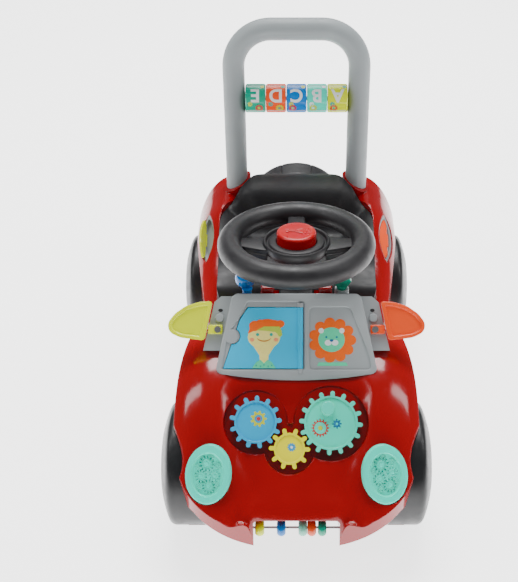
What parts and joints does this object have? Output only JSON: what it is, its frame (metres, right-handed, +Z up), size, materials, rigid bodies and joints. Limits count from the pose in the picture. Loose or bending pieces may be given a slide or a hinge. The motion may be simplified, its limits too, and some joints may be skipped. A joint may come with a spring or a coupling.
{
  "type": "baby walker",
  "caption": "Ride-on and push-along toy car for a toddler, with a bucket seat, push handle, steering wheel with horn, gears, beads, letter rollers and a peek door.",
  "frame": {"origin": "on the floor, under the middle of the bounding box", "axes": "+Z up, the car faces -Y, and +X points to the right of someone who faces its front"},
  "size_m": [0.32, 0.5266, 0.4615],
  "materials": {
    "red_body": "glossy moulded plastic",
    "black_matte": "fine textured moulded plastic",
    "black_wheel": "blow moulded plastic, smooth",
    "grey_panel": "satin moulded plastic",
    "lime": "glossy moulded plastic",
    "coral": "glossy moulded plastic",
    "door_blue": "glossy moulded plastic with a printed face",
    "gear_blue": "glossy moulded plastic",
    "gear_yellow": "glossy moulded plastic",
    "mint": "glossy moulded plastic",
    "bead_blue": "glossy moulded plastic",
    "bead_mint": "glossy moulded plastic",
    "teal": "glossy moulded plastic",
    "horn_red": "glossy moulded plastic",
    "shifter_blue": "glossy moulded plastic",
    "steel": "plated rod",
    "rubber": "soft moulded bulb"
  },
  "bodies": {
    "chassis": {"body_shell": "red_body", "chassis_tray": "black_matte", "front_axle": "steel", "rear_axle": "steel", "axle_nuts": "steel", "body_screws": "steel", "bead_rod": "steel", "gear_posts": "grey_panel", "headlight_left": "mint", "headlight_right": "mint", "windscreen_panel": "grey_panel", "door_hinge_pin": "steel", "mirror_pins": "steel", "shifter_pin": "steel", "key_collar": "grey_panel", "dash_bracket": "red_body", "column_shroud": "black_matte", "bucket_seat": "black_matte", "flap_plate_left": "grey_panel", "flap_plate_right": "grey_panel", "flap_pin_left": "steel", "flap_pin_right": "steel", "push_handle": "grey_panel", "roller_rod": "steel", "spare_wheel": "black_matte", "spare_bolt": "steel"},
    "steering": {"steering_wheel": "black_matte", "steering_shaft": "steel", "horn_squeaker": "rubber"},
    "horn": {"horn_button": "horn_red"},
    "door": {"peek_door": "door_blue"},
    "mirror_left": {"mirror_left": "coral"},
    "mirror_right": {"mirror_right": "lime"},
    "shifter": {"shift_lever": "shifter_blue"},
    "key": {"ignition_key": "teal"},
    "flap_left": {"side_flap_left": "coral"},
    "flap_right": {"side_flap_right": "lime"},
    "wheel_front_left": {"wheel_front_left": "black_wheel", "wheel_cap_front_left": "black_wheel"},
    "wheel_front_right": {"wheel_front_right": "black_wheel", "wheel_cap_front_right": "black_wheel"},
    "wheel_rear_left": {"wheel_rear_left": "black_wheel", "wheel_cap_rear_left": "black_wheel"},
    "wheel_rear_right": {"wheel_rear_right": "black_wheel", "wheel_cap_rear_right": "black_wheel"},
    "gear_yellow": {"gear_yellow": "gear_yellow"},
    "gear_blue": {"gear_blue": "gear_blue"},
    "gear_teal": {"gear_teal": "mint"},
    "roller_e": {"letter_roller_e": "teal"},
    "roller_d": {"letter_roller_d": "coral"},
    "roller_c": {"letter_roller_c": "bead_blue"},
    "roller_b": {"letter_roller_b": "mint"},
    "roller_a": {"letter_roller_a": "lime"},
    "bead_yellow": {"bead_yellow": "lime"},
    "bead_blue": {"bead_blue": "bead_blue"},
    "bead_mint": {"bead_mint": "bead_mint"},
    "bead_coral": {"bead_coral": "coral"},
    "bead_teal": {"bead_teal": "teal"}
  },
  "joints": [
    {"name": "steering_turn", "type": "hinge", "parent": "chassis", "child": "steering", "pos_m": [0, 0.015, 0.279], "axis": [0, 0.1564, 0.9877], "continuous": true},
    {"name": "horn_press", "type": "slide", "parent": "steering", "child": "horn", "axis": [0, -0.1564, -0.9877], "range_m": [0, 0.004], "stiffness_N_per_m": 1500, "springref_m": -0.001},
    {"name": "door_swing", "type": "hinge", "parent": "chassis", "child": "door", "pos_m": [0.0045, -0.09116, 0.22081], "axis": [0, 0.6769, 0.7361], "range_deg": [0, 140]},
    {"name": "shifter_rock", "type": "hinge", "parent": "chassis", "child": "shifter", "pos_m": [-0.0575, -0.038, 0.23], "axis": [1, 0, 0], "range_deg": [-10, 3]},
    {"name": "key_turn", "type": "hinge", "parent": "chassis", "child": "key", "pos_m": [0.054, -0.037, 0.25], "axis": [0, 0, 1], "range_deg": [-90, 0]},
    {"name": "mirror_left_fold", "type": "hinge", "parent": "chassis", "child": "mirror_left", "pos_m": [0.0925, -0.07997, 0.2241], "axis": [0, -0.7361, 0.6769], "range_deg": [-18, 18]},
    {"name": "flap_left_swing", "type": "hinge", "parent": "chassis", "child": "flap_left", "pos_m": [0.12356, 0.13281, 0.19237], "axis": [0, 0.8944, 0.4472], "range_deg": [0, 65]},
    {"name": "mirror_right_fold", "type": "hinge", "parent": "chassis", "child": "mirror_right", "pos_m": [-0.0925, -0.07997, 0.2241], "axis": [0, -0.7361, 0.6769], "range_deg": [-18, 18]},
    {"name": "flap_right_swing", "type": "hinge", "parent": "chassis", "child": "flap_right", "pos_m": [-0.12356, 0.13281, 0.19237], "axis": [0, -0.8944, -0.4472], "range_deg": [-65, 0]},
    {"name": "wheel_front_left_spin", "type": "hinge", "parent": "chassis", "child": "wheel_front_left", "pos_m": [0, -0.155, 0.074], "axis": [1, 0, 0], "continuous": true},
    {"name": "wheel_front_right_spin", "type": "hinge", "parent": "chassis", "child": "wheel_front_right", "pos_m": [0, -0.155, 0.074], "axis": [1, 0, 0], "continuous": true},
    {"name": "wheel_rear_left_spin", "type": "hinge", "parent": "chassis", "child": "wheel_rear_left", "pos_m": [0, 0.181, 0.074], "axis": [1, 0, 0], "continuous": true},
    {"name": "wheel_rear_right_spin", "type": "hinge", "parent": "chassis", "child": "wheel_rear_right", "pos_m": [0, 0.181, 0.074], "axis": [1, 0, 0], "continuous": true},
    {"name": "gear_yellow_spin", "type": "hinge", "parent": "chassis", "child": "gear_yellow", "pos_m": [-0.008, -0.19308, 0.14331], "axis": [0, -0.6293, 0.7771], "continuous": true},
    {"name": "gear_blue_spin", "type": "hinge", "parent": "chassis", "child": "gear_blue", "pos_m": [-0.047, -0.16945, 0.16244], "axis": [0, -0.6293, 0.7771], "continuous": true},
    {"name": "gear_teal_spin", "type": "hinge", "parent": "chassis", "child": "gear_teal", "pos_m": [0.0396, -0.1703, 0.16175], "axis": [0, -0.6293, 0.7771], "continuous": true},
    {"name": "roller_e_spin", "type": "hinge", "parent": "chassis", "child": "roller_e", "pos_m": [0, 0.23413, 0.355], "axis": [1, 0, 0], "continuous": true},
    {"name": "roller_d_spin", "type": "hinge", "parent": "chassis", "child": "roller_d", "pos_m": [0, 0.23413, 0.355], "axis": [1, 0, 0], "continuous": true},
    {"name": "roller_c_spin", "type": "hinge", "parent": "chassis", "child": "roller_c", "pos_m": [0, 0.23413, 0.355], "axis": [1, 0, 0], "continuous": true},
    {"name": "roller_b_spin", "type": "hinge", "parent": "chassis", "child": "roller_b", "pos_m": [0, 0.23413, 0.355], "axis": [1, 0, 0], "continuous": true},
    {"name": "roller_a_spin", "type": "hinge", "parent": "chassis", "child": "roller_a", "pos_m": [0, 0.23413, 0.355], "axis": [1, 0, 0], "continuous": true},
    {"name": "bead_yellow_slide", "type": "slide", "parent": "chassis", "child": "bead_yellow", "axis": [1, 0, 0], "range_m": [-0.0015, 0.007]},
    {"name": "bead_blue_slide", "type": "slide", "parent": "chassis", "child": "bead_blue", "axis": [1, 0, 0], "range_m": [-0.007, 0.007]},
    {"name": "bead_mint_slide", "type": "slide", "parent": "chassis", "child": "bead_mint", "axis": [1, 0, 0], "range_m": [-0.007, 0]},
    {"name": "bead_coral_slide", "type": "slide", "parent": "chassis", "child": "bead_coral", "axis": [1, 0, 0], "range_m": [0, 0.0018]},
    {"name": "bead_teal_slide", "type": "slide", "parent": "chassis", "child": "bead_teal", "axis": [1, 0, 0], "range_m": [0, 0.0145]}
  ],
  "couplings": [
    {"joint": "gear_yellow_spin", "follows": "gear_teal_spin", "ratio": -1.6},
    {"joint": "gear_blue_spin", "follows": "gear_teal_spin", "ratio": 1.2308}
  ]
}
